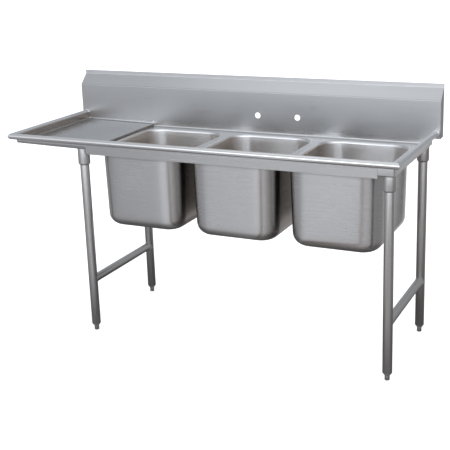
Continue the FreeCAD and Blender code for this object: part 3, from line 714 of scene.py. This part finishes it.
def perforated(net, spot, columns, rows_of_holes, low, high, radius):
    """Sheet in two coordinates, closed along the first, with one row of round holes at each given place."""
    around = 16
    edges = [low] + [(a + b) / 2 for a, b in zip(rows_of_holes, rows_of_holes[1:])] + [high]
    for index, level in enumerate(rows_of_holes):
        bottom, top = edges[index], edges[index + 1]
        width = radius(level)
        for column in range(columns):
            middle = column + 0.5
            hole, frame_line = [], []
            for step in range(around):
                angle = 2 * math.pi * (step + 0.5) / around
                c, s = math.cos(angle), math.sin(angle)
                hole.append((middle + width[0] * c, level + width[1] * s))
                reach = 1 / max(abs(c), abs(s))
                up = (top - level) if s > 0 else (level - bottom)
                frame_line.append((middle + 0.5 * c * reach, level + up * s * reach))
            net.skin([[spot(*p) for p in frame_line], [spot(*p) for p in hole]], around=True)


BASKET_TOP = 40.5                       # radius below the lip
BASKET_FOOT = 31.0                      # radius at the floor of the basket
BASKET_DEPTH = 36.0
BASKET_SHEET = 0.8
BASKET_HOLE = 2.5                       # radius of its holes
WALL_HOLES = 14                         # holes in each of the two rows round the wall
WALL_ROWS = (-26, -16)
FLOOR_ROWS = ((12, 21, 16.5, 29), (6, 12, 5, 16.5))     # holes, their circle, and its inner and outer edge


def make_basket(side, middle, floor):
    """Perforated cup with a rolled lip, a post and a knob."""
    net = Net()

    def wall_radius(level):
        return BASKET_FOOT + (BASKET_TOP - BASKET_FOOT) * (level + BASKET_DEPTH) / BASKET_DEPTH

    def place(angle, radius, level):
        return (middle[0] + radius * math.cos(angle), middle[1] + radius * math.sin(angle), floor + level)

    def wall(column, level):
        return place(2 * math.pi * column / WALL_HOLES, wall_radius(level), level)

    def base(columns):
        return lambda column, radius: place(2 * math.pi * column / columns, radius, -BASKET_DEPTH)

    def hole_size(columns, radius_at):
        """Half the width of a hole in columns, and its radius, at a level or a circle."""
        return lambda spot: (BASKET_HOLE * columns / (2 * math.pi * radius_at(spot)), BASKET_HOLE)

    perforated(net, wall, WALL_HOLES, WALL_ROWS, -34, -4, hole_size(WALL_HOLES, wall_radius))
    for columns, circle, inner, outer in FLOOR_ROWS:
        perforated(net, base(columns), columns, (circle,), inner, outer, hole_size(columns, float))

    def ring_at(radius, level):
        segments = 56
        return [place(2 * math.pi * k / segments, radius, level) for k in range(segments)]

    lip = [ring_at(wall_radius(-4), -4)]
    lip += [ring_at(p.x, p.y) for p in arc((BASKET_TOP, -0.5), 0.8, 180, 60, 4)]
    lip += [ring_at(41.3, -0.5), ring_at(41.3, -1.0)]
    net.skin(lip, around=True)
    heel = [ring_at(p.x, p.y) for p in arc((29, -34), 2, -90, 0, 5)]
    net.skin(heel + [ring_at(wall_radius(-34), -34)], around=True)
    make(f"basket_{side}_cup", net, basket_steel, [f"strainer_basket_{side}"],
         body=f"strainer_basket_{side}", gauge=BASKET_SHEET, facing=(0, 0, 1))
    post, knob = 3, 8
    low = floor - BASKET_DEPTH + 0.4
    turned(f"basket_{side}_knob", middle, (
        (0, low), (2 * post, low), (post, floor - 33), (post, floor - 12), (knob, floor - 12),
        (knob, floor - 4), (0, floor - 4)), (0, 0.5, 2, 1, 1.5, 3, 0), basket_steel, [],
        body=f"strainer_basket_{side}", on_axis=True, segments=40)


# ------------------------------------------------------------------ legs

LEGS = {name: ((corners_mm(f"leg_{name}")[0] + corners_mm(f"leg_{name}")[1]) / 2).to_2d()
        for name in ("front_left", "front_right", "rear_left", "rear_right")}
LEG_RADIUS = 20.65
SOCKET_RADIUS = 27
RAIL_RADIUS = 19
INSERT_BORE = 6.4
CONE_RADIUS = 12.5                      # narrow end of a foot's insert
PLUG_HEIGHT = 30                        # how far an insert goes up into its leg
FOOT_RADIUS = 10.75
FOOT_HEIGHT = 22
STEM_RADIUS = 6.35
STEM_TOP = 66
THREAD_PITCH = 1.6
THREAD_DEPTH = 0.6
RAIL_LEVEL = (corners_mm("crossrail_left")[0].z + corners_mm("crossrail_left")[1].z) / 2


def make_legs():
    for name, centre in LEGS.items():
        front = name.startswith("front")
        low = corners_mm(f"leg_{name}")[0].z
        high = corners_mm(f"leg_{name}")[1].z
        # Rear legs and their sockets take the darker steel as painted shade.
        turned(f"leg_{name}_tube", centre, (
            (LEG_RADIUS - GAUGE, low), (LEG_RADIUS, low), (LEG_RADIUS, high), (LEG_RADIUS - GAUGE, high)),
            (0.2, 0.5, 0.3, 0.2), tube_steel if front else rear_painted_shade_steel, [f"leg_{name}"], segments=96)
        low = corners_mm(f"gusset_{name}")[0].z
        high = corners_mm(f"gusset_{name}")[1].z
        weld = [(centre[0] + p.x, centre[1] + p.y, high - 1.4)
                for p in list(arc((0, 0), SOCKET_RADIUS + 0.6, 0, 360, 120))[:-1]]
        bore = LEG_RADIUS + 0.05
        turned(f"gusset_{name}_socket", centre, (
            (0, high - 4), (bore, high - 4), (bore, low), (LEG_RADIUS + 1.6, low),
            (SOCKET_RADIUS, low + 6), (SOCKET_RADIUS, high), (0, high)), (0, 0, 0.3, 0.5, 3, 0.3, 0),
            cast_steel if front else rear_painted_shade_steel, [f"gusset_{name}"], on_axis=True, segments=96,
            extra=lambda net, weld=weld: net.bead(weld, 1.4, closed=True))


def make_rails():
    around = 64
    for side in ("left", "right"):
        x = LEGS[f"front_{side}"].x
        ends = []
        for row, direction in (("front", 1), ("rear", -1)):
            y = LEGS[f"{row}_{side}"].y
            line = []
            for step in range(around):
                angle = 2 * math.pi * step / around
                out = RAIL_RADIUS * math.cos(angle)
                line.append(Vector((x + out, y + direction * math.sqrt(LEG_RADIUS ** 2 - out ** 2),
                                    RAIL_LEVEL + RAIL_RADIUS * math.sin(angle))))
            ends.append(line)
        net = Net()
        middle = [[a.lerp(b, step / 8) for a, b in zip(*ends)] for step in range(1, 8)]
        net.skin([ends[0]] + middle + [ends[1]], around=True)
        for line, direction in zip(ends, (1, -1)):
            net.bead([point + Vector((0, direction * 0.8, 0)) for point in line], 1.9, closed=True)
        make(f"crossrail_{side}_tube", net, rail_steel, [f"crossrail_{side}"])


def make_feet():
    """Tapered inserts, and bullet feet with a threaded stem."""
    for name, centre in LEGS.items():
        low = corners_mm(f"foot_insert_{name}")[0].z
        leg_end = corners_mm(f"leg_{name}")[0].z
        rim = leg_end - 0.1
        plug = LEG_RADIUS - GAUGE - 0.05
        turned(f"insert_{name}_cone", centre, (
            (INSERT_BORE, low), (CONE_RADIUS, low), (LEG_RADIUS, rim), (plug, rim),
            (plug, leg_end + PLUG_HEIGHT), (INSERT_BORE, leg_end + PLUG_HEIGHT)),
            (0.4, 0.8, 0.8, 0, 0.8, 0.5), cast_steel, [f"foot_insert_{name}"], segments=72)
        outline = [(0, 0), (FOOT_RADIUS, 0), (FOOT_RADIUS, FOOT_HEIGHT), (STEM_RADIUS, FOOT_HEIGHT)]
        radii = [0, 2.2, 0.9, 0.3]
        root = STEM_RADIUS - THREAD_DEPTH
        turns = int((STEM_TOP - 1 - FOOT_HEIGHT - 1) / THREAD_PITCH)
        for index in range(turns):
            z = FOOT_HEIGHT + 1 + index * THREAD_PITCH
            outline += [(STEM_RADIUS, z), (root, z + THREAD_PITCH / 2)]
        outline += [(root, STEM_TOP - 0.6), (STEM_RADIUS - 1.4, STEM_TOP), (0, STEM_TOP)]
        radii += [0] * (len(outline) - len(radii))
        turned(f"foot_{name}_bullet", centre, outline, radii, cast_steel, [f"foot_{name}"],
               body=f"foot_{name}", on_axis=True, segments=64)


# ------------------------------------------------------------------ make everything

make_deck()
make_board()
make_rims()
make_apron()
make_splash()
make_bowls()
make_drains()
make_legs()
make_rails()
make_feet()

for node, material in (("gusset_set_screws", oxide), ("leg_channel_left", channel_steel),
                       ("leg_channel_right", channel_steel), ("drainboard_stiffener", channel_steel)):
    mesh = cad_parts[node].data
    for index in range(len(mesh.materials)):
        mesh.materials[index] = material


# ------------------------------------------------------------------ floor, light and camera

# What reflections see of the floor, which glows in these colours though it is no lamp: share of a turn,
# from the back by way of the left, and colour. The brown stop front-right paints a brown streak into the
# reflections on the bowls.
FLOOR_GLOW = ((0.25, (0.33, 0.33, 0.34, 1)), (0.4, (0.43, 0.43, 0.45, 1)), (0.425, (0.54, 0.55, 0.57, 1)),
              (0.49, (0.66, 0.67, 0.7, 1)), (0.54, (0.6, 0.6, 0.62, 1)), (0.57, (0.26, 0.2, 0.18, 1)),
              (0.605, (0.52, 0.51, 0.52, 1)), (0.66, (0.42, 0.41, 0.41, 1)), (0.74, (0.28, 0.27, 0.27, 1)),
              (0.84, (0.3, 0.3, 0.3, 1)), (0.92, (0.6, 0.6, 0.61, 1)))


def make_floor():
    """White floor for the camera; in reflections the floor glows though it is no lamp, with a painted
    shadow under the sink and darker behind it.
    """
    mesh = bpy.data.meshes.new("studio_floor")
    bm = bmesh.new()
    bmesh.ops.create_grid(bm, x_segments=4, y_segments=4, size=14)
    bm.to_mesh(mesh)
    bm.free()
    material, tree, shader = new_material("pale_floor", Roughness=0.9)
    tree.nodes.remove(shader)
    place = add(tree, "TexCoord").outputs["Object"]
    axes = add(tree, "SeparateXYZ", {"Vector": place}).outputs
    behind = add(tree, "Math", {0: axes["Y"], 1: -1.0}, operation="MULTIPLY").outputs[0]
    bearing = add(tree, "Math", {0: axes["X"], 1: behind}, operation="ARCTAN2").outputs[0]
    turn = spread(tree, bearing, 0, 1, -math.pi, math.pi)
    ramp = add(tree, "ValToRGB", {"Fac": turn})
    stops = ramp.color_ramp.elements
    stops[0].position, stops[0].color = 0.0, (0.3, 0.28, 0.27, 1)
    stops[1].position, stops[1].color = 1.0, (0.3, 0.28, 0.27, 1)
    for position, colour in FLOOR_GLOW:
        stops.new(position).color = colour
    squeezed = add(tree, "Mapping", {"Vector": place, "Scale": (0.45, 1, 0)}).outputs[0]
    away = add(tree, "VectorMath", {0: squeezed}, operation="LENGTH").outputs["Value"]
    # The glow is weaker near the sink and under it: a painted shadow.
    shadowed_glow = spread(tree, away, 0.35, 1, 0.4, 0.95)
    glow = add(tree, "Emission", {"Color": ramp.outputs["Color"], "Strength": shadowed_glow})
    paper = add(tree, "BsdfDiffuse", {"Color": (0.9, 0.9, 0.9, 1)})
    lift = add(tree, "Emission", {"Color": (1, 1, 1, 1), "Strength": 0.55})
    both = add(tree, "AddShader", {0: paper.outputs[0], 1: lift.outputs[0]})
    seen = add(tree, "LightPath").outputs["Is Camera Ray"]
    mixed = add(tree, "MixShader", {0: seen, 1: glow.outputs[0], 2: both.outputs[0]})
    tree.links.new(mixed.outputs[0], tree.nodes["Material Output"].inputs["Surface"])
    mesh.materials.append(material)
    floor = bpy.data.objects.new("studio_floor", mesh)
    bpy.context.scene.collection.objects.link(floor)
    floor.location.z = -0.0005


def area_light(name, place, target, size, power, colour=(1, 1, 1)):
    data = bpy.data.lights.new(name, "AREA")
    data.shape = "RECTANGLE"
    data.size, data.size_y = size
    data.energy = power
    data.color = colour
    light = bpy.data.objects.new(name, data)
    light.location = place
    aim = Vector(target) - Vector(place)
    light.rotation_mode = "QUATERNION"
    light.rotation_quaternion = aim.to_track_quat("-Z", "Y")
    bpy.context.scene.collection.objects.link(light)


def make_world():
    """Even grey studio, brighter low in front and overhead; the background shows white."""
    world = bpy.data.worlds.new("studio")
    bpy.context.scene.world = world
    world.use_nodes = True
    tree = world.node_tree
    tree.nodes.clear()
    direction = add(tree, "TexCoord").outputs["Generated"]
    axes = add(tree, "SeparateXYZ", {"Vector": direction}).outputs
    ramp = add(tree, "ValToRGB", {"Fac": axes["Z"]})
    stops = ramp.color_ramp.elements
    stops[0].position, stops[0].color = 0.1, (0.47, 0.49, 0.52, 1)
    stops[1].position, stops[1].color = 0.8, (0.64, 0.66, 0.69, 1)
    low = spread(tree, axes["Z"], 1, 0, 0.3, 0.65)
    front = spread(tree, axes["Y"], 1, 0, -0.6, -0.2)
    across = spread(tree, axes["X"], 0.3, 1, -0.6, -0.35)
    band = add(tree, "Math", {0: low, 1: front}, operation="MULTIPLY").outputs[0]
    band = add(tree, "Math", {0: band, 1: across}, operation="MULTIPLY").outputs[0]
    glow = blend_colour(tree, band, (0, 0, 0, 1), (1.84, 1.89, 1.98, 1))
    lit = blend_colour(tree, 1.0, ramp.outputs["Color"], glow, "ADD")
    high = spread(tree, axes["Z"], 0, 1, 0.6, 0.8)
    rightward = spread(tree, axes["X"], 0, 1, -0.48, -0.24)
    ceiling = add(tree, "Math", {0: high, 1: rightward}, operation="MULTIPLY").outputs[0]
    glow = blend_colour(tree, ceiling, (0, 0, 0, 1), (0.35, 0.36, 0.37, 1))
    lit = blend_colour(tree, 1.0, lit, glow, "ADD")
    seen = add(tree, "LightPath").outputs["Is Camera Ray"]
    colour = blend_colour(tree, seen, lit, (1.05, 1.05, 1.05, 1))
    shine = add(tree, "Background", {"Color": colour, "Strength": 1.0})
    out = add(tree, "OutputWorld")
    tree.links.new(shine.outputs[0], out.inputs["Surface"])


make_floor()
make_world()
area_light("overhead", (-0.6, -0.2, 3.2), (-0.2, 0, 0.9), (1.4, 1.4), 1.5)

# The camera: eye and target in metres, roll in radians, lens in millimetres
eye = Vector((1.8604654, -3.7245009, 1.8215314))
target = Vector((0.1034809, 0, 0.7075414))
roll = -0.0303
aim = (target - eye).normalized()
side = aim.cross(Vector((0, 0, 1))).normalized()
above = side.cross(aim)
right = math.cos(roll) * side + math.sin(roll) * above
upward = -math.sin(roll) * side + math.cos(roll) * above
view = Matrix((right, upward, -aim)).transposed().to_4x4()
view.translation = eye
camera_data = bpy.data.cameras.new("camera")
camera_data.sensor_width = 36
camera_data.lens = 74.679808
camera_data.shift_x = -0.0381604
camera_data.shift_y = -0.0894916
camera_data.clip_end = 100
camera = bpy.data.objects.new("camera", camera_data)
camera.matrix_world = view
bpy.context.scene.collection.objects.link(camera)
bpy.context.scene.camera = camera
bpy.context.scene.view_settings.view_transform = "Standard"
